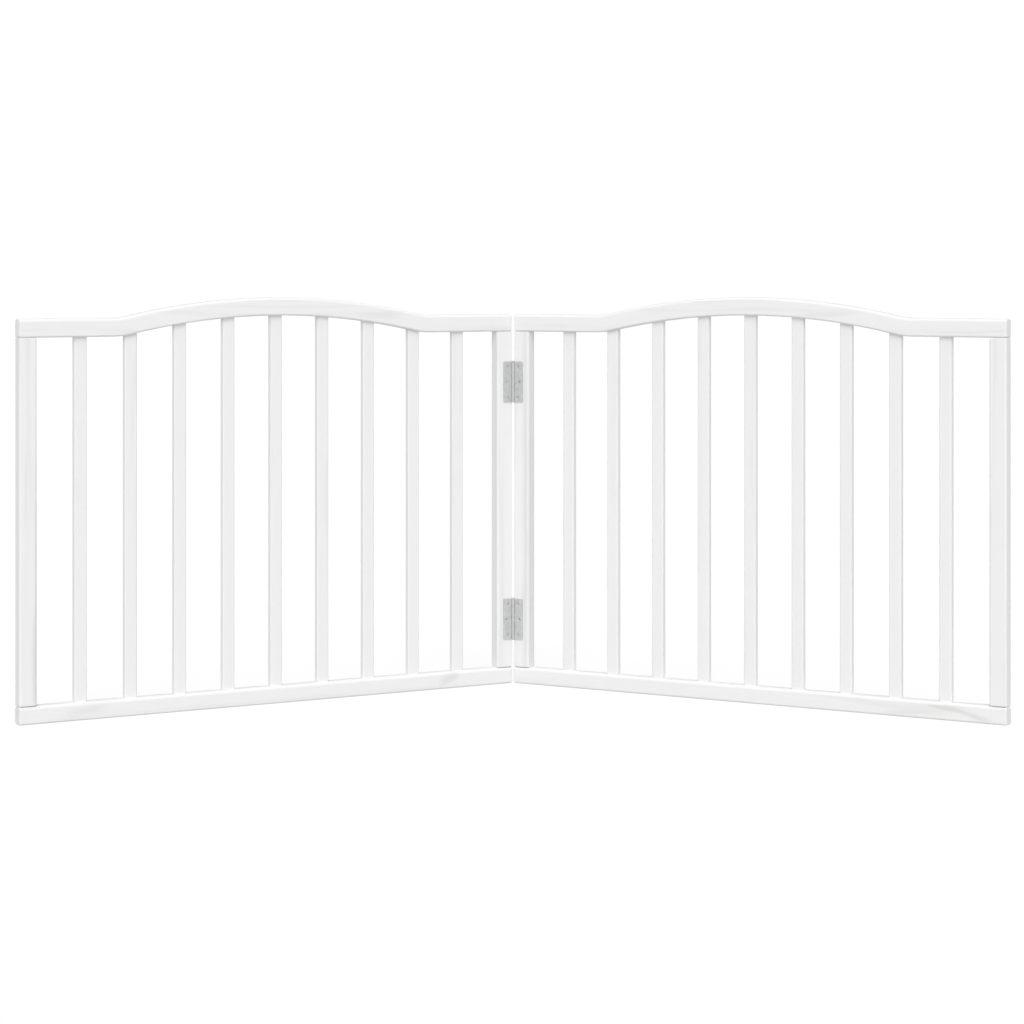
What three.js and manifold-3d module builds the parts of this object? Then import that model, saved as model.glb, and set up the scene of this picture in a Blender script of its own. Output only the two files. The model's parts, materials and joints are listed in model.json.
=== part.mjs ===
/**
 * Folding pet gate: two equal slatted panels of painted fir, standing in a V on two steel butt hinges.
 *
 * Millimetres, +Z up. X runs across the gate, the front looks along -Y and the gate stands on Z = 0.
 * The origin is on the floor, in the middle of the outline of the standing gate.
 *
 * Everything is built round the hinge line first. In a panel's own frame the hinge line is the Z axis,
 * x runs along the panel (towards -x on the left panel, +x on the right one) and y runs from the front
 * face to the back. A distance "along" is counted from the middle of a panel, towards its outer end.
 */
import * as THREE from 'three';
import { mergeVertices } from 'three/addons/utils/BufferGeometryUtils.js';
import Module from 'manifold-3d';

const wasm = await Module();
wasm.setup();

// Driving dimensions

const clearance = 0.3; // between pieces that touch or fit into each other
const overcut = 5; // how far a cutter runs past the face that it opens

const gate = { turn: 30, flatGap: 1 }; // degrees from a straight line; gap between the panels when flat
const panel = { width: 800, endHeight: 573, thickness: 20 };
const rail = { height: 27, footHeight: 26, rise: 28, bowRadius: 1100, sweepRadius: 120, ease: 3 };
const stile = { width: 26, ease: 3 };
const slat = { count: 9, width: 19, thickness: 10, tenon: 10, ease: 2 };
const dowel = { radius: 3, spacing: 12, inRail: 15, inStile: 24, facets: 12 };
const hinge = {
  centres: { lower: 100, upper: 468 },
  leafHeight: 63,
  leafWidth: 16.5,
  leafThickness: 0.9,
  knuckles: 5,
  knuckleRadius: 1.9,
  boreRadius: 1,
  pinRadius: 0.8,
  headRadius: 1.8,
  headHeight: 0.8,
  facets: 16,
};
const screw = {
  headRadius: 3.2,
  shankRadius: 1.5,
  headHeight: 1.7,
  shankHeight: 10,
  length: 13,
  facets: 12,
  places: [
    { along: 9, up: 24 },
    { along: 11.5, up: 0 },
    { along: 9, up: -24 },
  ],
};

// Dimensions that follow from them

const innerWidth = panel.width - 2 * stile.width;
const slatGap = (innerWidth - slat.count * slat.width) / (slat.count + 1);
const slatPitch = slat.width + slatGap;
const underRail = panel.endHeight - rail.height; // where the flat ends of the top rail start
const frontPlane = hinge.knuckleRadius + clearance; // the wood's front face, seen from the hinge line
const midPlane = frontPlane + panel.thickness / 2;
const leafFront = hinge.knuckleRadius - hinge.leafThickness;
const panelMiddle = gate.flatGap / 2 + panel.width / 2;

const paintedFir = { color: 0xf1f1ef, roughness: 0.5, metalness: 0 };
const beech = { color: 0xd9b98a, roughness: 0.75, metalness: 0 };
const zincedSteel = { color: 0xb4b6b8, roughness: 0.38, metalness: 0.9 };
const screwSteel = { color: 0xa9abad, roughness: 0.33, metalness: 0.95 };

// Solids

function toSolid(geometry) {
  const bare = geometry.clone();
  bare.deleteAttribute('normal');
  bare.deleteAttribute('uv');
  const merged = mergeVertices(bare, 1e-4);
  const vertProperties = new Float32Array(merged.attributes.position.array);
  const triVerts = new Uint32Array(merged.index.array);
  return new wasm.Manifold(new wasm.Mesh({ numProp: 3, vertProperties, triVerts }));
}

function toGeometry(solid) {
  const { vertProperties, triVerts } = solid.getMesh();
  const geometry = new THREE.BufferGeometry();
  geometry.setAttribute('position', new THREE.BufferAttribute(vertProperties, 3));
  geometry.setIndex(new THREE.BufferAttribute(triVerts, 1));
  geometry.computeVertexNormals();
  return geometry;
}

function cut(geometry, cutters) {
  const body = cutters.reduce((solid, cutter) => solid.subtract(toSolid(cutter)), toSolid(geometry));
  return toGeometry(body);
}

function join(geometries) {
  const [first, ...others] = geometries.map(toSolid);
  return toGeometry(others.reduce((solid, other) => solid.add(other), first));
}

function box({ x, y, z }) {
  const [width, depth, height] = [x, y, z].map(([low, high]) => high - low);
  const geometry = new THREE.BoxGeometry(width, depth, height);
  const [midX, midY, midZ] = [x, y, z].map(([low, high]) => (low + high) / 2);
  return geometry.translate(midX, midY, midZ);
}

/** A round bar on the Z axis between two heights, its facets outside the radius when it cuts a bore. */
function rod(radius, low, high, facets, isBore = false) {
  const reach = isBore ? radius / Math.cos(Math.PI / facets) : radius;
  const geometry = new THREE.CylinderGeometry(reach, reach, high - low, facets);
  return geometry.rotateX(Math.PI / 2).translate(0, 0, (low + high) / 2);
}

/** A bar with rounded long edges that stands on end between two heights. */
function standingBar(width, thickness, ease, low, high) {
  const [right, back] = [width / 2 - ease, thickness / 2 - ease];
  const section = new THREE.Shape();
  section.absarc(right, back, ease, 0, Math.PI / 2, false);
  section.absarc(-right, back, ease, Math.PI / 2, Math.PI, false);
  section.absarc(-right, -back, ease, Math.PI, Math.PI * 1.5, false);
  section.absarc(right, -back, ease, Math.PI * 1.5, Math.PI * 2, false);
  const bar = new THREE.ExtrudeGeometry(section, {
    depth: high - low,
    curveSegments: 3,
    bevelEnabled: false,
  });
  return bar.translate(0, midPlane, low);
}

/** A rail sawn to an outline in the X-Z plane, with its front and back edges taken off. */
function sawnRail(outline) {
  const bar = new THREE.ExtrudeGeometry(outline, {
    depth: panel.thickness - 2 * rail.ease,
    curveSegments: 8,
    bevelThickness: rail.ease,
    bevelSize: rail.ease,
    bevelOffset: -rail.ease,
    bevelSegments: 1,
  });
  const front = frontPlane + rail.ease;
  return bar.rotateX(Math.PI / 2).translate(0, front + panel.thickness - 2 * rail.ease, 0);
}

// The arch: a wide bow in the middle that sweeps out into the flat ends. Both edges share its centres.

const archRadii = rail.bowRadius + rail.sweepRadius;
const archReach = Math.sqrt(2 * archRadii * rail.rise - rail.rise ** 2);
const archAngle = Math.asin(archReach / archRadii);
const bowCentre = panel.endHeight + rail.rise - rail.bowRadius;
const sweepCentre = panel.endHeight + rail.sweepRadius;

function archedOutline() {
  const end = panel.width / 2;
  const down = -Math.PI / 2;
  const up = Math.PI / 2;
  const outline = new THREE.Shape();
  outline.moveTo(-end, underRail);
  outline.lineTo(-archReach, underRail);
  const under = { sweep: rail.sweepRadius + rail.height, bow: rail.bowRadius - rail.height };
  outline.absarc(-archReach, sweepCentre, under.sweep, down, down + archAngle, false);
  outline.absarc(0, bowCentre, under.bow, up + archAngle, up - archAngle, true);
  outline.absarc(archReach, sweepCentre, under.sweep, down - archAngle, down, false);
  outline.lineTo(end, underRail);
  outline.lineTo(end, panel.endHeight);
  outline.absarc(archReach, sweepCentre, rail.sweepRadius, down, down - archAngle, true);
  outline.absarc(0, bowCentre, rail.bowRadius, up - archAngle, up + archAngle, false);
  outline.absarc(-archReach, sweepCentre, rail.sweepRadius, down + archAngle, down, true);
  outline.lineTo(-end, panel.endHeight);
  outline.closePath();
  return outline;
}

/** Height of the top rail's underside at a distance along the panel from its middle. */
function undersideAt(along) {
  const bow = rail.bowRadius - rail.height;
  const sweep = rail.sweepRadius + rail.height;
  const distance = Math.abs(along);
  if (distance >= archReach) return underRail;
  if (distance <= bow * Math.sin(archAngle)) return bowCentre + Math.sqrt(bow ** 2 - distance ** 2);
  return sweepCentre - Math.sqrt(sweep ** 2 - (archReach - distance) ** 2);
}

// Wood

const slatPlaces = Array.from({ length: slat.count }, (_, index) => {
  const along = (index - (slat.count - 1) / 2) * slatPitch;
  return { along, low: rail.footHeight - slat.tenon, high: undersideAt(along) + slat.tenon };
});
const stileAlong = (panel.width - stile.width) / 2;
const stilePlaces = { hinge: -stileAlong, outer: stileAlong };

function slatMortise({ along }, low, high) {
  const [width, thickness] = [slat.width, slat.thickness].map((size) => size / 2 + clearance);
  return box({
    x: [along - width, along + width],
    y: [midPlane - thickness, midPlane + thickness],
    z: [low, high],
  });
}

/** The two dowel places in the end of a stile, as distances along from the stile's own middle. */
const dowelOffsets = [-dowel.spacing / 2, dowel.spacing / 2];

function dowelBore(along, low, high) {
  const bore = rod(dowel.radius + clearance, low - clearance, high + clearance, dowel.facets, true);
  return bore.translate(along, midPlane, 0);
}

const dowelSpans = {
  bottom: { low: rail.footHeight - dowel.inRail, high: rail.footHeight + dowel.inStile },
  top: { low: underRail - dowel.inStile, high: underRail + dowel.inRail },
};

function railDowelBores({ low, high }) {
  const places = Object.values(stilePlaces);
  return places.flatMap((along) => dowelOffsets.map((step) => dowelBore(along + step, low, high)));
}

function topRail() {
  const mortises = slatPlaces.map((place) =>
    slatMortise(place, underRail - overcut, place.high + clearance));
  return cut(sawnRail(archedOutline()), [...mortises, ...railDowelBores(dowelSpans.top)]);
}

function bottomRail() {
  const end = panel.width / 2;
  const outline = new THREE.Shape();
  outline.moveTo(-end, 0);
  outline.lineTo(end, 0);
  outline.lineTo(end, rail.footHeight);
  outline.lineTo(-end, rail.footHeight);
  outline.closePath();
  const mortises = slatPlaces.map((place) =>
    slatMortise(place, place.low - clearance, rail.footHeight + overcut));
  return cut(sawnRail(outline), [...mortises, ...railDowelBores(dowelSpans.bottom)]);
}

/** A stile about its own middle; the screw places of a hinge stile are counted from the hinge line. */
function stileBar(screwBores) {
  const [low, high] = [rail.footHeight + clearance, underRail - clearance];
  const bar = standingBar(stile.width, panel.thickness, stile.ease, low, high);
  const bores = Object.values(dowelSpans).flatMap((span) =>
    dowelOffsets.map((step) => dowelBore(step, span.low, span.high)));
  return cut(bar, [...bores, ...screwBores]);
}

// Hinges

/** A countersunk screw driven along +y, its head level with y = 0, grown on all sides to cut its hole. */
function screwBody(grow = 0) {
  const flare = (screw.headRadius - screw.shankRadius) / screw.headHeight;
  const profile = [
    [0, -grow],
    [screw.headRadius + grow * (1 + flare), -grow],
    [screw.shankRadius + grow, screw.headHeight],
    [screw.shankRadius + grow, screw.shankHeight],
    [0, screw.length + 2 * grow],
  ];
  const points = profile.map(([radius, depth]) => new THREE.Vector2(radius, depth));
  return new THREE.LatheGeometry(points, screw.facets);
}

/** The holes of a hinge's screws, on the side of the hinge line that the panel is on. */
function screwHoles(side, centre) {
  return screw.places.map(({ along, up }) =>
    screwBody(clearance).translate(side * along, leafFront, centre + up));
}

/** Height of one knuckle, the topmost being number 0. */
function knuckleSpan(index, centre) {
  const height = hinge.leafHeight / hinge.knuckles;
  const high = centre + hinge.leafHeight / 2 - index * height;
  return [high - height + clearance / 2, high - clearance / 2];
}

/** One leaf: a plate on the wood, with a knuckle of its own at every second place on the hinge line. */
function hingeLeaf(side, firstKnuckle, centre) {
  const plateStart = hinge.knuckleRadius + 2 * clearance;
  const halfHeight = hinge.leafHeight / 2;
  const y = [leafFront, hinge.knuckleRadius];
  const across = (near, far) => (side > 0 ? [near, far] : [-far, -near]);
  const parts = [
    box({ x: across(plateStart, hinge.leafWidth), y, z: [centre - halfHeight, centre + halfHeight] }),
  ];
  for (let index = firstKnuckle; index < hinge.knuckles; index += 2) {
    const z = knuckleSpan(index, centre);
    parts.push(rod(hinge.knuckleRadius, ...z, hinge.facets));
    parts.push(box({ x: across(0, plateStart + overcut), y, z }));
  }
  const reach = halfHeight + overcut;
  const bore = rod(hinge.boreRadius, centre - reach, centre + reach, hinge.facets, true);
  return cut(join(parts), [bore, ...screwHoles(side, centre)]);
}

/** The pin with a flat round head beyond each end of the barrel, about its own middle. */
function hingePin() {
  const barrel = hinge.leafHeight / 2 + clearance;
  const end = barrel + hinge.headHeight;
  const profile = [
    [0, -end],
    [hinge.headRadius, -end],
    [hinge.headRadius, -barrel],
    [hinge.pinRadius, -barrel],
    [hinge.pinRadius, barrel],
    [hinge.headRadius, barrel],
    [hinge.headRadius, end],
    [0, end],
  ];
  const points = profile.map(([radius, height]) => new THREE.Vector2(radius, height));
  return new THREE.LatheGeometry(points, hinge.facets).rotateX(Math.PI / 2);
}

// Assembly

function addPiece(group, name, geometry, finish, position = [0, 0, 0]) {
  const mesh = new THREE.Mesh(geometry, new THREE.MeshStandardMaterial(finish));
  mesh.name = name;
  mesh.position.set(...position);
  group.add(mesh);
}

const railShapes = { top: topRail(), bottom: bottomRail() };
const dowelShapes = {
  top: rod(dowel.radius, dowelSpans.top.low, dowelSpans.top.high, dowel.facets),
  bottom: rod(dowel.radius, dowelSpans.bottom.low, dowelSpans.bottom.high, dowel.facets),
};
const pinShape = hingePin();

function addWood(group, name, side) {
  const place = (along) => side * (panelMiddle + along);
  addPiece(group, `${name}_top_rail`, railShapes.top, paintedFir, [place(0), 0, 0]);
  addPiece(group, `${name}_bottom_rail`, railShapes.bottom, paintedFir, [place(0), 0, 0]);
  for (const [end, along] of Object.entries(stilePlaces)) {
    const centres = end === 'hinge' ? Object.values(hinge.centres) : [];
    const bores = centres.flatMap((centre) => screwHoles(side, centre));
    bores.forEach((bore) => bore.translate(-place(along), 0, 0));
    addPiece(group, `${name}_${end}_stile`, stileBar(bores), paintedFir, [place(along), 0, 0]);
    for (const [joint, shape] of Object.entries(dowelShapes)) {
      dowelOffsets.forEach((step, index) => {
        const position = [place(along + step), midPlane, 0];
        addPiece(group, `${name}_${end}_${joint}_dowel_${index + 1}`, shape, beech, position);
      });
    }
  }
  slatPlaces.forEach(({ along, low, high }, index) => {
    const shape = standingBar(slat.width, slat.thickness, slat.ease, low, high);
    addPiece(group, `${name}_slat_${index + 1}`, shape, paintedFir, [place(along), 0, 0]);
  });
}

function addHinges(group, name, side, firstKnuckle) {
  for (const [level, centre] of Object.entries(hinge.centres)) {
    const leaf = hingeLeaf(side, firstKnuckle, centre);
    addPiece(group, `${level}_hinge_${name}_leaf`, leaf, zincedSteel);
    screw.places.forEach(({ along, up }, index) => {
      const position = [side * along, leafFront, centre + up];
      addPiece(group, `${level}_hinge_${name}_screw_${index + 1}`, screwBody(), screwSteel, position);
    });
  }
}

function buildPanel(name, side, firstKnuckle) {
  const group = new THREE.Group();
  addWood(group, name, side);
  addHinges(group, name, side, firstKnuckle);
  group.rotation.z = -side * THREE.MathUtils.degToRad(gate.turn);
  return group;
}

const leftPanel = buildPanel('left', -1, 1);
const rightPanel = buildPanel('right', 1, 0);
for (const [level, centre] of Object.entries(hinge.centres)) {
  addPiece(rightPanel, `${level}_hinge_pin`, pinShape, zincedSteel, [0, 0, centre]);
}

const petGate = new THREE.Group();
petGate.add(leftPanel, rightPanel);
const outline = new THREE.Box3().setFromObject(petGate, true);
const middle = outline.getCenter(new THREE.Vector3());
petGate.position.set(-middle.x, -middle.y, -outline.min.z);

export default petGate;
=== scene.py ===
"""White folding pet gate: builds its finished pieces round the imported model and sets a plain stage.

Lengths are metres. A panel's own frame has the hinge line as its Z axis, x along the panel and y from
the front face to the back; the pieces are shaped there and then put in place by that frame's matrix.
"""

import json
import math
import random

import bmesh
import bpy
from mathutils import Matrix, Vector


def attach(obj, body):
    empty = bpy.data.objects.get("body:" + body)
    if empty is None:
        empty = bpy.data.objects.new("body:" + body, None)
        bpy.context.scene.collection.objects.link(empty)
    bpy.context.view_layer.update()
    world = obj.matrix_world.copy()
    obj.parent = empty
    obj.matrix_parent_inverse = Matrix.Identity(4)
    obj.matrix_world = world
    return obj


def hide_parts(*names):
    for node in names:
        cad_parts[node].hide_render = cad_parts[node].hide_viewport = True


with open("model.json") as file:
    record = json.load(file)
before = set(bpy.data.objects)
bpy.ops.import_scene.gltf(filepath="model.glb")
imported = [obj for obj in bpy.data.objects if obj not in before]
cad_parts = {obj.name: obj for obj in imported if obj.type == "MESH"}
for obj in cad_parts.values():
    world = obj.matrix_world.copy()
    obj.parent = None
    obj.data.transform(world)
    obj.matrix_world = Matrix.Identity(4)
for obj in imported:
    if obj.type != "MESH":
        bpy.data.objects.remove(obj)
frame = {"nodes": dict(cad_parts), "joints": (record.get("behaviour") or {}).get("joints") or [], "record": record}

bl_info = {
    "name": "Folding pet gate",
    "version": (1, 0, 0),
    "blender": (4, 5, 0),
    "location": "3D View > Sidebar > Pet gate",
    "description": "Builds the painted wood, hinges and screws of a folding pet gate, and its stage",
    "category": "Object",
}

MM = 0.001
OVERCUT = 1 * MM  # how far a cutter runs past the face that it opens
TOUCH = 0.01 * MM  # two places nearer than this are one place
WELD = 1e-7  # corners nearer than this are merged
ALIGNED = 0.999  # two directions with a larger dot product are one direction
X_AXIS, Y_AXIS, Z_AXIS = Vector((1, 0, 0)), Vector((0, 1, 0)), Vector((0, 0, 1))

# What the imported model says

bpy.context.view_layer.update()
MOUNTS = {mount["name"]: mount for mount in frame["record"]["mounts"]}
NODES = frame["nodes"]
FOLD = frame["joints"][0]
HINGE_LINE = Vector((FOLD["pos_m"][0], FOLD["pos_m"][1], 0))
LEVELS = ("lower", "upper")
ENDS = ("hinge", "outer")
RAILS = ("top", "bottom")
SLAT_COUNT = len([node for node in NODES if node.startswith("left_slat_")])
SCREWS_PER_LEAF = len([node for node in NODES if node.startswith("upper_hinge_left_screw_")])
DOWELS_PER_JOINT = 2


class Panel:
    """One panel's own frame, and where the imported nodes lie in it."""

    def __init__(self, name, side):
        self.name = name
        self.side = side
        self.body = f"{name}_panel"
        outward = Vector(MOUNTS[f"{name}_end"]["axis"]) * side
        turn = math.atan2(outward.y, outward.x)
        self.place = Matrix.Translation(HINGE_LINE) @ Matrix.Rotation(turn, 4, "Z")
        self.inverse = self.place.inverted()

    def points(self, node):
        """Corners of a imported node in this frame."""
        return [self.inverse @ vertex.co for vertex in NODES[node].data.vertices]

    def span(self, node):
        """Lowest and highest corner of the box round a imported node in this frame."""
        points = self.points(node)
        low = Vector([min(point[k] for point in points) for k in range(3)])
        high = Vector([max(point[k] for point in points) for k in range(3)])
        return low, high

    def slats(self):
        return [f"{self.name}_slat_{index + 1}" for index in range(SLAT_COUNT)]

    def dowels(self, end, rail):
        return [f"{self.name}_{end}_{rail}_dowel_{index + 1}" for index in range(DOWELS_PER_JOINT)]

    def screws(self, level):
        return [f"{level}_hinge_{self.name}_screw_{index + 1}" for index in range(SCREWS_PER_LEAF)]


PANELS = [Panel("left", -1), Panel("right", 1)]


# Sizes, colours and lights that a user would change


def length(name, description, default):
    return bpy.props.FloatProperty(
        name=name, description=description, default=default, min=0, subtype="DISTANCE", unit="LENGTH"
    )


def share(name, description, default):
    return bpy.props.FloatProperty(
        name=name, description=description, default=default, min=0, max=1, subtype="FACTOR"
    )


def colour(name, description, default):
    return bpy.props.FloatVectorProperty(
        name=name, description=description, default=default, size=3, min=0, max=1, subtype="COLOR"
    )


def strength(name, description, default):
    return bpy.props.FloatProperty(name=name, description=description, default=default, min=0)


def angle(name, description, degrees):
    return bpy.props.FloatProperty(
        name=name, description=description, default=math.radians(degrees), subtype="ANGLE"
    )


class GateSizes(bpy.types.PropertyGroup):
    rail_ease: length("Rail edge radius", "Radius of the lower long edges of a rail", 3 * MM)
    rail_top_ease: length("Rail top radius", "Radius of the upper long edges of a rail", 5 * MM)
    rail_end_ease: length("Rail end radius", "Radius of the edges round a rail's end", 2 * MM)
    stile_ease: length("Stile edge radius", "Radius of the long edges of a stile", 3 * MM)
    meeting_ease: length("Meeting edge radius", "Radius of the edges where the panels meet", 0.6 * MM)
    slat_ease: length("Slat edge radius", "Radius of the long edges of a slat", 2 * MM)
    joint_line: length("Joint line", "Gap where a stile meets a rail", 0.1 * MM)
    joint_ease: length("Joint edge radius", "Radius of the edges round a stile's end", 1.5 * MM)
    fit: length("Fit", "Room round a slat or dowel in its hole", 0.12 * MM)
    bow_radius: length("Bow radius", "Radius of the top edge in the middle of the arch", 1100 * MM)
    sweep_radius: length("Sweep radius", "Radius of the top edge where the arch meets its ends", 120 * MM)
    leaf_corner: length("Leaf corner radius", "Radius of a hinge leaf's outer corners", 1.6 * MM)
    metal_ease: length("Metal edge radius", "Radius of the edges of the pressed leaves", 0.15 * MM)
    knuckle_gap: length("Knuckle gap", "Gap between neighbouring knuckles", 0.25 * MM)
    slit: length("Slit", "Room between a barrel and the other leaf", 0.1 * MM)


class GateFinish(bpy.types.PropertyGroup):
    paint: colour("Paint", "White paint on all the wood", (0.838, 0.838, 0.836))
    paint_shade: colour("Paint over late wood", "Paint where the grain shows", (0.7, 0.698, 0.692))
    grain: share("Grain", "How strongly the grain shows through the paint", 0.37)
    steel: colour("Hinge steel", "Zinc-plated hinge leaves and pins", (0.69, 0.695, 0.70))
    steel_dull: colour("Dull zinc", "Duller patches of the zinc plating", (0.57, 0.575, 0.58))
    screw_steel: colour("Screw steel", "Zinc-plated screws", (0.64, 0.645, 0.65))
    beech: colour("Beech", "Bare beech of the dowels", (0.66, 0.46, 0.27))
    beech_dark: colour("Beech rays", "Darker flecks of the beech", (0.44, 0.27, 0.14))


class GateStage(bpy.types.PropertyGroup):
    floor: colour("Floor", "Share of the light on the floor that it gives back", (0.16, 0.16, 0.16))
    floor_glow: share("Floor glow", "Light of the floor's own, which shadows don't reach", 0.84)
    wall_light: strength("Wall light", "Strength of the light from the walls at eye height", 1.06)
    ceiling_light: strength("Ceiling light", "Strength of the light from above, all round", 0.37)
    bounce_light: strength("Bounce light", "Strength of the light from below, all round", 0.57)
    key_light: strength("Key light", "Soft light above the front, in watts per square metre", 1.66)
    key_height: angle("Key height", "Angle of the key light above the floor", 42)
    key_softness: angle("Key softness", "How wide the key light looks from the gate", 40)
    overhead_light: strength("Overhead light", "Light high above, in watts per square metre", 0.78)
    overhead_height: angle("Overhead height", "Angle of the overhead light above the floor", 68)
    overhead_softness: angle("Overhead softness", "How wide the overhead light looks", 35)
    camera_distance: length("Camera distance", "From the camera to the hinge line", 4.287)
    camera_height: length("Camera height", "Height of the level camera", 0.647)
    focal_length: bpy.props.FloatProperty(
        name="Focal length",
        description="Focal length of the lens on a 36 mm sensor",
        default=97.15,
        subtype="DISTANCE_CAMERA",
        unit="CAMERA",
    )


# Shader nodes as Python expressions


def combined(operation, reflected=False):
    def method(self, other):
        values = (other, self) if reflected else (self, other)
        return self.sheet.maths(operation, *values)

    return method


class Value:
    """An output socket that Python's operators work on."""

    def __init__(self, sheet, output):
        self.sheet = sheet
        self.output = output

    __add__ = combined("ADD")
    __radd__ = combined("ADD", reflected=True)
    __sub__ = combined("SUBTRACT")
    __rsub__ = combined("SUBTRACT", reflected=True)
    __mul__ = combined("MULTIPLY")
    __rmul__ = combined("MULTIPLY", reflected=True)
    __truediv__ = combined("DIVIDE")
    __pow__ = combined("POWER")


class Sheet:
    """The node tree of one material or world, started empty."""

    def __init__(self, owner):
        owner.use_nodes = True
        self.tree = owner.node_tree
        self.tree.nodes.clear()

    def node(self, kind, settings=None, sockets=None, result=0):
        made = self.tree.nodes.new(f"ShaderNode{kind}")
        for setting, value in (settings or {}).items():
            setattr(made, setting, value)
        for socket, value in (sockets or {}).items():
            self.feed(made.inputs[socket], value)
        return Value(self, made.outputs[result])

    def feed(self, socket, value):
        if isinstance(value, Value):
            self.tree.links.new(value.output, socket)
        elif socket.type == "RGBA":
            socket.default_value = (*value, 1)
        else:
            socket.default_value = value

    def maths(self, operation, *values, clamp=False):
        sockets = dict(enumerate(values))
        return self.node("Math", {"operation": operation, "use_clamp": clamp}, sockets)

    def vector(self, x, y, z):
        return self.node("CombineXYZ", None, {"X": x, "Y": y, "Z": z})

    def parts(self, vector):
        split = self.node("SeparateXYZ", None, {0: vector}).output.node
        return [Value(self, output) for output in split.outputs]

    def noise(self, vector, detail=2, roughness=0.5):
        sockets = {"Vector": vector, "Scale": 1, "Detail": detail, "Roughness": roughness}
        return self.node("TexNoise", None, sockets)

    def mix(self, factor, first, second):
        return self.node("Mix", {"data_type": "RGBA"}, {0: factor, 6: first, 7: second}, result=2)

    def ramp(self, value, low, high):
        """0 below low, 1 above high and a smooth step between them."""
        sockets = {"Value": value, "From Min": low, "From Max": high}
        return self.node("MapRange", {"interpolation_type": "SMOOTHSTEP"}, sockets)

    def surface(self, height, depth, sockets):
        """Sets the shader's sockets over a bump whose height of 0 to 1 spans a depth in metres."""
        bump = self.node("Bump", None, {"Height": height, "Distance": depth, "Strength": 1}, "Normal")
        self.show("Material", self.node("BsdfPrincipled", None, {**sockets, "Normal": bump}))

    def show(self, kind, shader):
        """Feeds a shader to the output of a material or a world."""
        output = self.tree.nodes.new(f"ShaderNodeOutput{kind}")
        self.tree.links.new(shader.output, output.inputs["Surface"])


# Finishes

RING_SPACING = 5.2 * MM
PITH_DEPTH = 52 * MM  # how far behind the middle of a board the middle of its tree lay


def growth_rings(sheet, along, across, through, seed):
    """Late wood of a flat-sawn board, 0 to 1."""
    wander = sheet.noise(sheet.vector(along * 1.3 + seed * 7.1, seed, 0.5), detail=1)
    drift = sheet.noise(sheet.vector(along * 5 + seed * 3.7, across * 30, through * 30), detail=3)
    pith = (wander - 0.5) * 0.06
    radius = sheet.maths("SQRT", (across - pith) ** 2 + (through + PITH_DEPTH) ** 2) + drift * 0.007
    waves = sheet.maths("SINE", radius * (2 * math.pi / RING_SPACING)) * 0.5 + 0.5
    return waves ** 2.5


def grain_marks(sheet, along, across, seed, marks):
    """Dark streaks and knot swirls, each a soft slanting patch with wavering edges."""
    waver = sheet.noise(sheet.vector(along * 14 + seed, across * 60, 0.5), detail=2) - 0.5
    total = 0.0
    for x, z, reach, width, slope, depth in marks:
        run = (along - x) / reach
        off = (across - z - (along - x) * slope) / width + waver * 1.6
        total = sheet.maths("EXPONENT", (run ** 4 + off ** 2) * -1) * depth + total
    return total


def painted_wood(name, finish, marks=()):
    """Thin white paint over fir: faint rings and fibres under it, and a slight orange peel on top."""
    wood = bpy.data.materials.new(name)
    sheet = Sheet(wood)
    grain = sheet.node("Attribute", {"attribute_name": "grain"}, result="Vector")
    seed = sheet.node("Attribute", {"attribute_name": "seed"}, result="Fac")
    along, across, through = sheet.parts(grain)
    late = growth_rings(sheet, along, across, through, seed)
    dark = grain_marks(sheet, along, across, seed, marks)
    fibre = sheet.noise(sheet.vector(along * 9 + seed, across * 700, through * 700), detail=3)
    patch = sheet.noise(sheet.vector(along * 6, across * 20 + seed, through * 20))
    peel = sheet.noise(sheet.vector(along * 900, across * 900, through * 900))
    fade = sheet.ramp(patch, 0.35, 0.7)
    shown = late * (fade * 0.7 + 0.3) + (fibre - 0.5) * 0.8 + dark
    shade = sheet.maths("MULTIPLY", shown, finish.grain, clamp=True)
    sockets = {
        "Base Color": sheet.mix(shade, finish.paint, finish.paint_shade),
        "Roughness": fibre * 0.14 + patch * 0.12 + 0.42,
        "Specular IOR Level": 0.36,
    }
    sheet.surface(peel * 0.35 + fibre * 0.25 - late * 0.3 + 0.5, 0.05 * MM, sockets)
    return wood


def plated_steel(name, base, dull, rolling=2600):
    """Zinc-plated pressed steel: fine rolling lines, a spangle of duller patches, small scratches."""
    steel = bpy.data.materials.new(name)
    sheet = Sheet(steel)
    x, y, z = sheet.parts(sheet.node("TexCoord", result="Object"))
    rolled = sheet.noise(sheet.vector(x * rolling, y * rolling, z * 90), detail=3)
    spangle = sheet.noise(sheet.vector(x * 170, y * 170, z * 170), detail=3, roughness=0.6)
    scratch = sheet.noise(sheet.vector(x * 400 + z * 900, y * 400, z * 60 - x * 50), detail=1)
    mark = sheet.ramp(scratch, 0.66, 0.72)
    dullness = sheet.ramp(spangle, 0.35, 0.7) * 0.6 + (rolled - 0.5) * 0.5 + mark * 0.15
    sockets = {
        "Base Color": sheet.mix(sheet.maths("MULTIPLY", dullness, 1, clamp=True), base, dull),
        "Metallic": 1,
        "Roughness": rolled * 0.12 + spangle * 0.16 + mark * 0.1 + 0.24,
    }
    sheet.surface(rolled * 0.5 + spangle * 0.3 - mark * 0.4 + 0.4, 0.012 * MM, sockets)
    return steel


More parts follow.
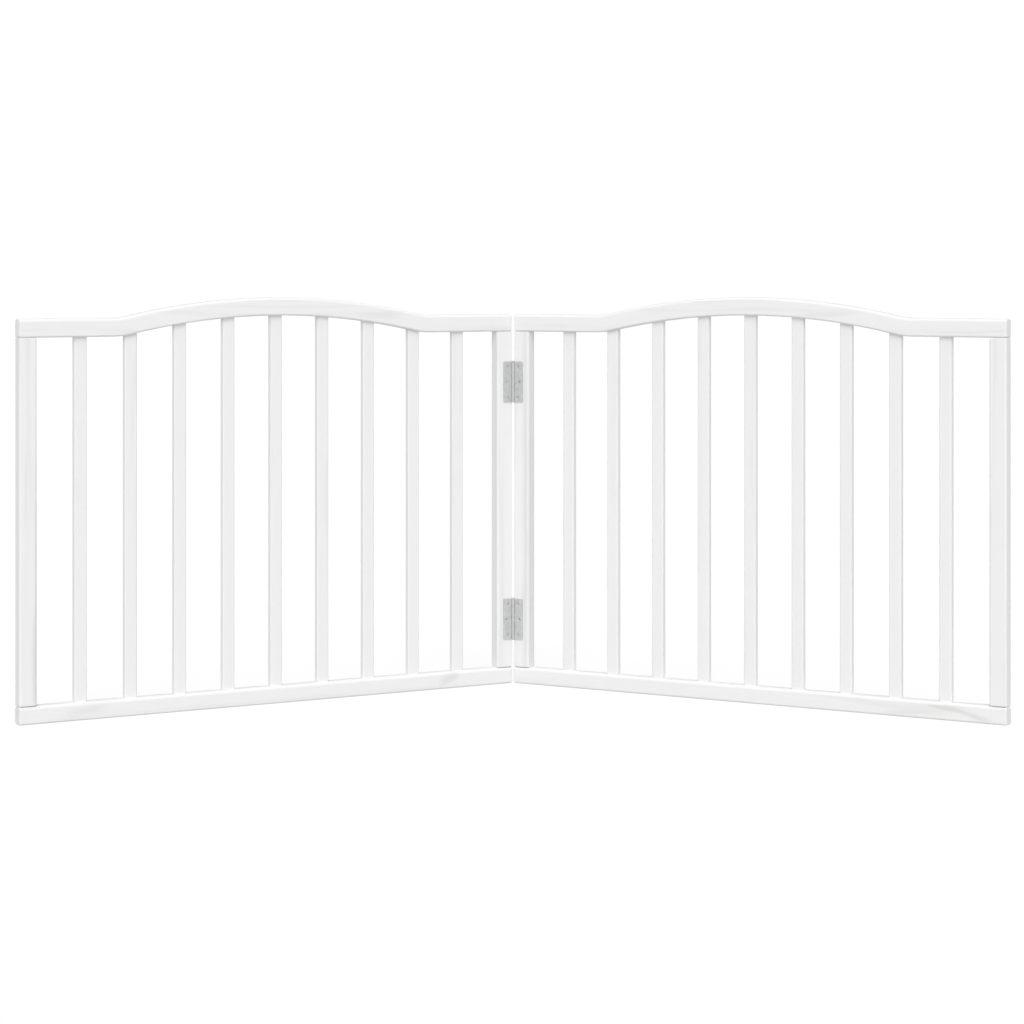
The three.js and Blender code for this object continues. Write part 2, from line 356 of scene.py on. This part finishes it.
def bare_beech(name, finish):
    """Unpainted beech of the dowels, its fibres and short ray flecks running up them."""
    wood = bpy.data.materials.new(name)
    sheet = Sheet(wood)
    x, y, z = sheet.parts(sheet.node("TexCoord", result="Object"))
    fibre = sheet.noise(sheet.vector(x * 1500, y * 1500, z * 60), detail=3)
    ray = sheet.ramp(sheet.noise(sheet.vector(x * 2400, y * 2400, z * 420), detail=1), 0.6, 0.68)
    sockets = {
        "Base Color": sheet.mix(fibre * 0.4 + ray * 0.4, finish.beech, finish.beech_dark),
        "Roughness": fibre * 0.15 + 0.6,
    }
    sheet.surface(fibre * 0.6 - ray * 0.3 + 0.3, 0.03 * MM, sockets)
    return wood


# Shaping

SMOOTH_BELOW = math.radians(38)  # faces that meet at less than this are shaded as one


def transformed(bm, matrix):
    bmesh.ops.transform(bm, matrix=matrix, verts=bm.verts)
    return bm


def block(low, high):
    """A box between two corners."""
    low, high = Vector(low), Vector(high)
    bm = bmesh.new()
    bmesh.ops.create_cube(bm, size=1)
    size = Matrix.Diagonal((*(high - low), 1))
    return transformed(bm, Matrix.Translation((low + high) / 2) @ size)


def rod(centre, axis, radius, start, end, segments, end_radius=None):
    """A round bar or cone: its centre line passes a point and it runs between two distances along axis."""
    bm = bmesh.new()
    bmesh.ops.create_cone(
        bm,
        cap_ends=True,
        segments=segments,
        radius1=radius,
        radius2=radius if end_radius is None else end_radius,
        depth=end - start,
    )
    turn = Z_AXIS.rotation_difference(axis).to_matrix().to_4x4()
    middle = Vector(centre) + axis * ((start + end) / 2)
    return transformed(bm, Matrix.Translation(middle) @ turn)


def revolved(profile, axis, segments):
    """A turned shape from (radius, distance) pairs that start and end on an axis square to X."""
    bm = bmesh.new()
    verts = [bm.verts.new(X_AXIS * radius + axis * distance) for radius, distance in profile]
    edges = [bm.edges.new(pair) for pair in zip(verts, verts[1:])]
    bmesh.ops.spin(
        bm,
        geom=verts + edges,
        cent=(0, 0, 0),
        axis=axis,
        angle=2 * math.pi,
        steps=segments,
        use_merge=True,
    )
    bmesh.ops.remove_doubles(bm, verts=bm.verts, dist=WELD)
    bmesh.ops.recalc_face_normals(bm, faces=bm.faces)
    return bm


def ease(bm, edges, radius, segments):
    """Rounds some edges."""
    bmesh.ops.bevel(
        bm,
        geom=edges,
        offset=radius,
        segments=segments,
        profile=0.5,
        affect="EDGES",
        material=-1,
        clamp_overlap=True,
    )
    return bm


def edges_along(bm, axis):
    """The edges that run along an axis."""
    edges = []
    for edge in bm.edges:
        run = (edge.verts[1].co - edge.verts[0].co).normalized()
        if abs(run.dot(axis)) > ALIGNED:
            edges.append(edge)
    return edges


def middle_of(verts):
    return sum((vert.co for vert in verts), Vector()) / len(verts)


def run_straight(bm, face, x):
    """Extrudes a face that is square to X as far as x and returns the new end face."""
    grows_from_solid = any(len(edge.link_faces) > 1 for edge in face.edges)
    made = bmesh.ops.extrude_face_region(bm, geom=[face])["geom"]
    verts = [item for item in made if isinstance(item, bmesh.types.BMVert)]
    bmesh.ops.translate(bm, verts=verts, vec=(x - middle_of(verts).x, 0, 0))
    if grows_from_solid:
        bmesh.ops.delete(bm, geom=[face], context="FACES_ONLY")
    return next(item for item in made if isinstance(item, bmesh.types.BMFace))


def run_round(bm, face, centre, axis, turn, steps):
    """Spins a face about a line and returns the new end face."""
    made = bmesh.ops.spin(
        bm,
        geom=[face, *face.edges, *face.verts],
        cent=centre,
        axis=axis,
        angle=turn,
        steps=steps,
    )["geom_last"]
    return next(item for item in made if isinstance(item, bmesh.types.BMFace))


def joined(parts):
    """Several shapes as one bmesh."""
    whole = bmesh.new()
    for part in parts:
        mesh = bpy.data.meshes.new("part")
        part.to_mesh(mesh)
        whole.from_mesh(mesh)
        part.free()
        bpy.data.meshes.remove(mesh)
    return whole


def placed_object(name, bm):
    """A shape as an object in the scene."""
    mesh = bpy.data.meshes.new(name)
    bm.to_mesh(mesh)
    bm.free()
    made = bpy.data.objects.new(name, mesh)
    bpy.context.scene.collection.objects.link(made)
    return made


def carved(bm, cutters):
    """A shape less the cutters, which may not touch each other."""
    body, tool = placed_object("body", bm), placed_object("tool", joined(cutters))
    cut = body.modifiers.new("cut", "BOOLEAN")
    cut.operation = "DIFFERENCE"
    cut.solver = "EXACT"
    cut.object = tool
    result = bmesh.new()
    result.from_object(body, bpy.context.evaluated_depsgraph_get())
    for used in (body, tool):
        mesh = used.data
        bpy.data.objects.remove(used)
        bpy.data.meshes.remove(mesh)
    return result


def note_grain(bm, centre, upright, luck):
    """Stores each corner's place along, across and through the wood's grain, and the piece's seed."""
    grain = bm.verts.layers.float_vector.new("grain")
    seed = bm.verts.layers.float.new("seed")
    for vert in bm.verts:
        x, y, z = vert.co - centre
        vert[grain] = (z, x, y) if upright else (x, z, y)
        vert[seed] = luck


def add_piece(name, bm, panel, node, material):
    """Puts a finished shape in place as one piece that rides on its panel and stands for its node."""
    low, high = panel.span(node)
    size = high - low
    upright = size.z > max(size.x, size.y)
    note_grain(bm, (low + high) / 2, upright, random.Random(name).uniform(0, 50))
    piece = placed_object(name, transformed(bm, panel.place))
    piece.data.shade_smooth()
    piece.data.set_sharp_from_angle(angle=SMOOTH_BELOW)
    piece.data.materials.append(material)
    weigh = piece.modifiers.new("even flats", "WEIGHTED_NORMAL")
    weigh.keep_sharp = True
    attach(piece, panel.body)
    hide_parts(node)


# Wood

MORTISE_CUTTER = 20 * MM  # from a slat's end to well outside the rail

# Marks of the wood under the paint: distance along from the piece's middle and across it, half length,
# half width, slope and depth
GRAIN_MARKS = {
    "left_top_rail": [(-0.035, 0.0, 0.02, 0.004, 0.1, 1.6), (0.17, -0.002, 0.035, 0.005, -0.06, 1.2)],
    "left_bottom_rail": [(0.29, 0.004, 0.016, 0.007, 0.25, 1.8), (-0.3, 0, 0.03, 0.006, 0.1, 1.2)],
    "right_top_rail": [(0.12, 0.002, 0.04, 0.004, 0.05, 1.2)],
    "right_bottom_rail": [
        (0.343, -0.001, 0.032, 0.004, -0.26, 2.2),
        (0.305, 0.005, 0.02, 0.0026, -0.1, 2.0),
        (0.27, -0.004, 0.05, 0.004, 0.1, 1.2),
    ],
    "left_outer_stile": [
        (-0.11, 0.012, 0.22, 0.0026, 0, 2.4),
        (-0.21, 0.009, 0.08, 0.0042, 0, 1.8),
        (0.045, -0.004, 0.05, 0.0018, 0.01, 1.2),
    ],
    "left_hinge_stile": [(-0.1, -0.004, 0.15, 0.003, 0, 0.8)],
    "right_hinge_stile": [(0, 0.007, 0.3, 0.004, 0, 1.8)],
}


def rail_section(x, low, high, radius, top_radius):
    """A rounded rectangle across a rail at x, as a bmesh with one face."""
    bm = bmesh.new()
    bmesh.ops.create_grid(bm, x_segments=1, y_segments=1, size=0.5)
    transformed(bm, Matrix.Diagonal((high.y - low.y, high.z - low.z, 1, 1)))
    upper = [vert for vert in bm.verts if vert.co.y > 0]
    lower = [vert for vert in bm.verts if vert.co.y < 0]
    for corners, offset in ((upper, top_radius), (lower, radius)):
        bmesh.ops.bevel(
            bm,
            geom=corners,
            offset=offset,
            segments=6,
            profile=0.5,
            affect="VERTICES",
            material=-1,
        )
    middle = (low + high) / 2
    stand = Matrix(((0, 0, 1, x), (1, 0, 0, middle.y), (0, 1, 0, middle.z), (0, 0, 0, 1)))
    return transformed(bm, stand)


def end_edges(bm, low, high):
    """The edges round a rail's two ends."""
    edges = []
    for face in bm.faces:
        x = face.verts[0].co.x
        if abs(face.normal.x) > ALIGNED and min(abs(x - low.x), abs(x - high.x)) < TOUCH:
            edges += face.edges
    return edges


def run_arch(bm, face, low, high, flat_top, sizes):
    """Runs a rail's section over a wide bow that sweeps out at both ends and returns the new end face."""
    middle = (low.x + high.x) / 2
    rise = high.z - flat_top
    radii = sizes.bow_radius + sizes.sweep_radius
    reach = math.sqrt(2 * radii * rise - rise**2)
    turn = math.asin(reach / radii)
    sweep_z = flat_top + sizes.sweep_radius
    bow_z = high.z - sizes.bow_radius
    face = run_straight(bm, face, middle - reach)
    face = run_round(bm, face, (middle - reach, 0, sweep_z), Y_AXIS, -turn, 8)
    face = run_round(bm, face, (middle, 0, bow_z), Y_AXIS, 2 * turn, 28)
    return run_round(bm, face, (middle + reach, 0, sweep_z), Y_AXIS, -turn, 8)


def rail_shape(panel, rail, sizes):
    """A rail before its holes are cut, arched where its node rises above its ends."""
    node = f"{panel.name}_{rail}_rail"
    low, high = panel.span(node)
    flat_top = max(point.z for point in panel.points(node) if point.x < low.x + MM)
    flat_high = Vector((high.x, high.y, flat_top))
    bm = rail_section(low.x, low, flat_high, sizes.rail_ease, sizes.rail_top_ease)
    bm.faces.ensure_lookup_table()
    face = bm.faces[0]
    if high.z - flat_top > MM:
        face = run_arch(bm, face, low, high, flat_high.z, sizes)
    run_straight(bm, face, high.x)
    bmesh.ops.recalc_face_normals(bm, faces=bm.faces)
    return ease(bm, end_edges(bm, low, high), sizes.rail_end_ease, 4)


def mortise(panel, slat, rail, sizes):
    """The hole for a slat's end in a rail, open towards the slat."""
    low, high = panel.span(slat)
    room = Vector((sizes.fit, sizes.fit, 0))
    beyond = Z_AXIS * sizes.fit
    if rail == "top":
        low.z = high.z - MORTISE_CUTTER
        return block(low - room, high + room + beyond)
    high.z = low.z + MORTISE_CUTTER
    return block(low - room - beyond, high + room)


def dowel_bore(panel, dowel, sizes):
    """The hole of a dowel, which runs from a rail into a stile and is cut from both."""
    low, high = panel.span(dowel)
    half = (high.z - low.z) / 2 + sizes.fit
    radius = (high.x - low.x) / 2 + sizes.fit
    return rod((low + high) / 2, Z_AXIS, radius, -half, half, segments=20)


class GATE_OT_rails(bpy.types.Operator):
    """Build the arched top rails and straight bottom rails, with their mortises and dowel bores"""

    bl_idname = "pet_gate.rails"
    bl_label = "Rails"

    def execute(self, context):
        sizes, finish = context.scene.gate_sizes, context.scene.gate_finish
        for panel in PANELS:
            for rail in RAILS:
                node = f"{panel.name}_{rail}_rail"
                marks = GRAIN_MARKS.get(node, ())
                wood = painted_wood(f"painted fir {panel.name} {rail} rail", finish, marks)
                holes = [mortise(panel, slat, rail, sizes) for slat in panel.slats()]
                for end in ENDS:
                    holes += [dowel_bore(panel, dowel, sizes) for dowel in panel.dowels(end, rail)]
                shape = carved(rail_shape(panel, rail, sizes), holes)
                add_piece(f"painted_{node}", shape, panel, node, wood)
        return {"FINISHED"}


def stile_shape(panel, end, sizes):
    """A stile before its holes are cut, which fills the height between the rails but for joint lines."""
    low, high = panel.span(f"{panel.name}_{end}_stile")
    low.z = panel.span(f"{panel.name}_bottom_rail")[1].z + sizes.joint_line
    high.z = panel.span(f"{panel.name}_top_rail")[0].z - sizes.joint_line
    inner = min(high.x, low.x, key=abs)
    bm = block(low, high)
    uprights = edges_along(bm, Z_AXIS)
    meeting = [e for e in uprights if end == "hinge" and abs(e.verts[0].co.x - inner) < TOUCH]
    ease(bm, [edge for edge in uprights if edge not in meeting], sizes.stile_ease, 6)
    ease(bm, meeting, sizes.meeting_ease, 4)
    caps = [face for face in bm.faces if abs(face.normal.z) > ALIGNED]
    return ease(bm, [edge for face in caps for edge in face.edges], sizes.joint_ease, 4)


class GATE_OT_stiles(bpy.types.Operator):
    """Build the stiles that stand between the rails, bored for dowels and hinge screws"""

    bl_idname = "pet_gate.stiles"
    bl_label = "Stiles"

    def execute(self, context):
        sizes, finish = context.scene.gate_sizes, context.scene.gate_finish
        for panel in PANELS:
            for end in ENDS:
                node = f"{panel.name}_{end}_stile"
                marks = GRAIN_MARKS.get(node, ())
                wood = painted_wood(f"painted fir {panel.name} {end} stile", finish, marks)
                holes = [dowel_bore(panel, d, sizes) for rail in RAILS for d in panel.dowels(end, rail)]
                if end == "hinge":
                    holes += [screw_bore(panel, s) for level in LEVELS for s in panel.screws(level)]
                shape = carved(stile_shape(panel, end, sizes), holes)
                add_piece(f"painted_{node}", shape, panel, node, wood)
        return {"FINISHED"}


class GATE_OT_slats(bpy.types.Operator):
    """Build the thin upright slats, whose ends stand in the rails"""

    bl_idname = "pet_gate.slats"
    bl_label = "Slats"

    def execute(self, context):
        sizes, finish = context.scene.gate_sizes, context.scene.gate_finish
        wood = painted_wood("painted fir slats", finish)
        for panel in PANELS:
            for node in panel.slats():
                bm = block(*panel.span(node))
                ease(bm, edges_along(bm, Z_AXIS), sizes.slat_ease, 5)
                add_piece(f"painted_{node}", bm, panel, node, wood)
        return {"FINISHED"}


# Hinges

KNUCKLES_PER_HINGE = 5
OWN_KNUCKLES = {"left": (1, 3), "right": (0, 2, 4)}  # counted from the top
CURL = math.radians(299)  # how far a knuckle's sheet is bent round the pin
SHANK_RADIUS = 1.5 * MM
HEAD_HEIGHT = 1.7 * MM
HEAD_ROOM = 0.12 * MM  # round a screw's head in a leaf
BORE_ROOM = 0.15 * MM  # round a screw in the wood


def knuckle_span(number, low, high, sizes):
    """Lowest and highest level of a knuckle, with half a gap to each of its neighbours."""
    height = (high.z - low.z) / KNUCKLES_PER_HINGE
    gap = sizes.knuckle_gap / 2
    top = high.z - number * height - (gap if number > 0 else 0)
    bottom = high.z - (number + 1) * height + (gap if number < KNUCKLES_PER_HINGE - 1 else 0)
    return bottom, top


def leaf_shape(panel, level, sizes):
    """A plate with its own knuckles curled out of the sheet round the pin, and three screw holes."""
    low, high = panel.span(f"{level}_hinge_{panel.name}_leaf")
    front = panel.span(panel.screws(level)[0])[0].y
    barrel_radius = -low.y
    reach = max(abs(low.x), abs(high.x))
    plate = block((barrel_radius + sizes.slit, front, low.z), (reach, barrel_radius, high.z))
    corners = [e for e in edges_along(plate, Y_AXIS) if abs(e.verts[0].co.x - reach) < TOUCH]
    ease(plate, corners, sizes.leaf_corner, 5)
    spans = [knuckle_span(number, low, high, sizes) for number in OWN_KNUCKLES[panel.name]]
    for z in sorted({z for span in spans for z in span}):
        whole = plate.verts[:] + plate.edges[:] + plate.faces[:]
        bmesh.ops.bisect_plane(plate, geom=whole, dist=WELD, plane_co=(0, 0, z), plane_no=Z_AXIS)
    for bottom, top in spans:
        inner = [face for face in plate.faces if face.normal.x < -ALIGNED]
        root = next(face for face in inner if bottom < face.calc_center_median().z < top)
        run_round(plate, run_straight(plate, root, 0), (0, 0, 0), Z_AXIS, CURL, 22)
    bmesh.ops.recalc_face_normals(plate, faces=plate.faces)
    sharp = [e for e in plate.edges if e.is_manifold and e.calc_face_angle() > math.radians(50)]
    ease(plate, sharp, sizes.metal_ease, 2)
    if panel.side < 0:
        transformed(plate, Matrix.Diagonal((-1, 1, 1, 1)))
        bmesh.ops.recalc_face_normals(plate, faces=plate.faces)
    return carved(plate, [countersink(panel, screw) for screw in panel.screws(level)])


def screw_facts(panel, screw):
    """The middle of the front of a screw's head, the head's radius and the screw's length."""
    low, high = panel.span(screw)
    centre = Vector(((low.x + high.x) / 2, low.y, (low.z + high.z) / 2))
    return centre, (high.z - low.z) / 2, high.y - low.y


def mouth_radius(head_radius, room):
    """Radius of a countersink's cone where its cutter ends, past the face that it opens."""
    return head_radius + room + (head_radius - SHANK_RADIUS) / HEAD_HEIGHT * OVERCUT


def countersink(panel, screw):
    """The cone in a leaf that a screw's head sits in."""
    centre, head_radius, _ = screw_facts(panel, screw)
    wide = mouth_radius(head_radius, HEAD_ROOM)
    return rod(centre, Y_AXIS, wide, -OVERCUT, HEAD_HEIGHT, 32, SHANK_RADIUS + HEAD_ROOM)


def screw_bore(panel, screw):
    """The countersink and pilot hole of a screw in the wood."""
    centre, head_radius, span = screw_facts(panel, screw)
    profile = [
        (0, -OVERCUT),
        (mouth_radius(head_radius, BORE_ROOM), -OVERCUT),
        (SHANK_RADIUS + BORE_ROOM, HEAD_HEIGHT),
        (SHANK_RADIUS + BORE_ROOM, span + BORE_ROOM),
        (0, span + BORE_ROOM),
    ]
    return transformed(revolved(profile, Y_AXIS, 20), Matrix.Translation(centre))


class GATE_OT_leaves(bpy.types.Operator):
    """Build the hinge leaves, their knuckles curled from the sheet"""

    bl_idname = "pet_gate.leaves"
    bl_label = "Hinge leaves"

    def execute(self, context):
        sizes, finish = context.scene.gate_sizes, context.scene.gate_finish
        steel = plated_steel("zinc-plated leaves", finish.steel, finish.steel_dull)
        for panel in PANELS:
            for level in LEVELS:
                node = f"{level}_hinge_{panel.name}_leaf"
                shape = leaf_shape(panel, level, sizes)
                add_piece(f"plated_{node}", shape, panel, node, steel)
        return {"FINISHED"}


def pin_shape(half):
    """A pin about its own middle, with a domed head at each end."""
    radius, head, lip = 0.8 * MM, 1.75 * MM, half - 0.8 * MM
    upper = [
        (radius, lip),
        (head, lip),
        (head, half - 0.45 * MM),
        (head * 0.86, half - 0.15 * MM),
        (head * 0.5, half),
        (0, half + 0.03 * MM),
    ]
    lower = [(across, -distance) for across, distance in reversed(upper)]
    return revolved(lower + upper, Z_AXIS, 28)


class GATE_OT_pins(bpy.types.Operator):
    """Build the hinge pins with their domed heads, which ride with the right panel"""

    bl_idname = "pet_gate.pins"
    bl_label = "Hinge pins"

    def execute(self, context):
        finish = context.scene.gate_finish
        steel = plated_steel("zinc-plated pins", finish.steel, finish.steel_dull)
        panel = PANELS[1]
        for level in LEVELS:
            node = f"{level}_hinge_pin"
            low, high = panel.span(node)
            shape = pin_shape((high.z - low.z) / 2)
            transformed(shape, Matrix.Translation((low + high) / 2))
            add_piece(f"plated_{node}", shape, panel, node, steel)
        return {"FINISHED"}


def recess_bar(head_radius, depth, turn):
    """One bar of the cross that a driver fits, shorter and narrower at its foot."""
    arm, width = head_radius * 0.58, head_radius * 0.19
    bar = block((-arm, -OVERCUT, -width), (arm, depth, width))
    for vert in bar.verts:
        if vert.co.y > 0:
            vert.co.x *= 0.42
            vert.co.z *= 0.7
    return transformed(bar, Matrix.Rotation(turn, 4, "Y"))


def screw_shape(head_radius, span):
    """A countersunk screw with a worn rim, a plain shank, a point and a cross recess."""
    recess, point = 1.3 * MM, 3 * MM
    profile = [
        (0, 0),
        (head_radius - 0.25 * MM, 0),
        (head_radius - 0.05 * MM, 0.12 * MM),
        (head_radius, 0.3 * MM),
        (SHANK_RADIUS, HEAD_HEIGHT),
        (SHANK_RADIUS, span - point),
        (0.3 * MM, span - 0.15 * MM),
        (0, span),
    ]
    shape = revolved(profile, Y_AXIS, 32)
    for turn in (0, math.pi / 2):
        shape = carved(shape, [recess_bar(head_radius, recess, turn)])
    return shape


class GATE_OT_screws(bpy.types.Operator):
    """Build the countersunk screws with their cross recesses"""

    bl_idname = "pet_gate.screws"
    bl_label = "Hinge screws"

    def execute(self, context):
        finish = context.scene.gate_finish
        steel = plated_steel("zinc-plated screws", finish.screw_steel, finish.steel_dull, rolling=1300)
        for panel in PANELS:
            for level in LEVELS:
                for node in panel.screws(level):
                    centre, head_radius, span = screw_facts(panel, node)
                    turn = Matrix.Rotation(random.Random(node).uniform(0, math.pi / 2), 4, "Y")
                    shape = screw_shape(head_radius, span)
                    transformed(shape, Matrix.Translation(centre) @ turn)
                    add_piece(f"driven_{node}", shape, panel, node, steel)
        return {"FINISHED"}


class GATE_OT_dowels(bpy.types.Operator):
    """Give the hidden dowels their bare beech"""

    bl_idname = "pet_gate.dowels"
    bl_label = "Dowels"

    def execute(self, context):
        beech = bare_beech("bare beech", context.scene.gate_finish)
        for panel in PANELS:
            for end in ENDS:
                for rail in RAILS:
                    for node in panel.dowels(end, rail):
                        NODES[node].data.materials.clear()
                        NODES[node].data.materials.append(beech)
        return {"FINISHED"}


# Stage

FLOOR_HALF_WIDTH = 60  # so wide that its edge is out of sight
CAMERA_SHIFT = (-0.001, -0.24)  # shares of the frame, so that the level camera has the gate in its middle


def light_room(scene, stage):
    """Light from all round: white walls at eye height, a dimmer ceiling and a dimmer bounce from below."""
    world = bpy.data.worlds.new("room light")
    sheet = Sheet(world)
    up = sheet.parts(sheet.node("TexCoord", result="Generated"))[2]
    ceiling = sheet.ramp(up, 0.12, 0.3) * (stage.ceiling_light - stage.wall_light)
    bounce = sheet.ramp(up * -1, 0.04, 0.2) * (stage.bounce_light - stage.wall_light)
    light = ceiling + bounce + stage.wall_light
    sheet.show("World", sheet.node("Background", None, {"Color": (1, 1, 1), "Strength": light}))
    scene.world = world


def pale_floor(stage):
    """A plain floor that glows, so that it stays pale, and that throws no light back at the gate."""
    pale = bpy.data.materials.new("pale floor")
    sheet = Sheet(pale)
    spot = sheet.node("TexCoord", result="Object")
    cloud = sheet.noise(sheet.node("VectorMath", {"operation": "SCALE"}, {0: spot, "Scale": 3}))
    sockets = {
        "Base Color": stage.floor,
        "Roughness": 0.9,
        "Specular IOR Level": 0.2,
        "Emission Color": (1, 1, 1),
        "Emission Strength": stage.floor_glow,
    }
    sheet.surface(cloud, 0.1 * MM, sockets)
    bm = bmesh.new()
    bmesh.ops.create_grid(bm, x_segments=1, y_segments=1, size=FLOOR_HALF_WIDTH)
    floor = placed_object("floor", bm)
    floor.data.materials.append(pale)
    floor.visible_diffuse = False


def soft_sun(name, height, power, softness):
    """A distant soft light in front of the gate, placed by its angle above the floor."""
    light = bpy.data.lights.new(name, "SUN")
    light.energy = power
    light.angle = softness
    made = bpy.data.objects.new(name, light)
    made.rotation_euler = (math.pi / 2 - height, 0, 0)
    bpy.context.scene.collection.objects.link(made)


def set_camera(scene, stage):
    """A level camera straight in front of the hinge line."""
    lens = bpy.data.cameras.new("camera")
    lens.lens = stage.focal_length
    lens.sensor_width = 36
    lens.shift_x, lens.shift_y = CAMERA_SHIFT
    camera = bpy.data.objects.new("camera", lens)
    camera.location = HINGE_LINE + Vector((0, -stage.camera_distance, stage.camera_height))
    camera.rotation_euler = (math.pi / 2, 0, 0)
    scene.collection.objects.link(camera)
    scene.camera = camera


class GATE_OT_stage(bpy.types.Operator):
    """Set the plain floor, the soft light and the camera"""

    bl_idname = "pet_gate.stage"
    bl_label = "Stage"

    def execute(self, context):
        scene, stage = context.scene, context.scene.gate_stage
        scene.view_settings.view_transform = "Standard"
        scene.view_settings.look = "None"
        light_room(scene, stage)
        pale_floor(stage)
        soft_sun("key", stage.key_height, stage.key_light, stage.key_softness)
        soft_sun("overhead", stage.overhead_height, stage.overhead_light, stage.overhead_softness)
        set_camera(scene, stage)
        return {"FINISHED"}


# The add-on

GROUPS = {"gate_sizes": GateSizes, "gate_finish": GateFinish, "gate_stage": GateStage}
STEPS = (
    GATE_OT_stage,
    GATE_OT_rails,
    GATE_OT_stiles,
    GATE_OT_slats,
    GATE_OT_leaves,
    GATE_OT_pins,
    GATE_OT_screws,
    GATE_OT_dowels,
)


class GATE_PT_panel(bpy.types.Panel):
    """The gate's sizes, colours and lights, and a button for each group of pieces"""

    bl_idname = "GATE_PT_panel"
    bl_label = "Folding pet gate"
    bl_space_type = "VIEW_3D"
    bl_region_type = "UI"
    bl_category = "Pet gate"

    def draw(self, context):
        for name, group in GROUPS.items():
            column = self.layout.column()
            for prop in group.__annotations__:
                column.prop(getattr(context.scene, name), prop)
        for step in STEPS:
            self.layout.operator(step.bl_idname)


def register():
    for name, group in GROUPS.items():
        bpy.utils.register_class(group)
        setattr(bpy.types.Scene, name, bpy.props.PointerProperty(type=group))
    for made in (*STEPS, GATE_PT_panel):
        bpy.utils.register_class(made)


def unregister():
    for made in (GATE_PT_panel, *reversed(STEPS)):
        bpy.utils.unregister_class(made)
    for name, group in reversed(GROUPS.items()):
        delattr(bpy.types.Scene, name)
        bpy.utils.unregister_class(group)


def main():
    register()
    for step in STEPS:
        family, name = step.bl_idname.split(".")
        getattr(getattr(bpy.ops, family), name)()


if __name__ == "__main__":
    main()
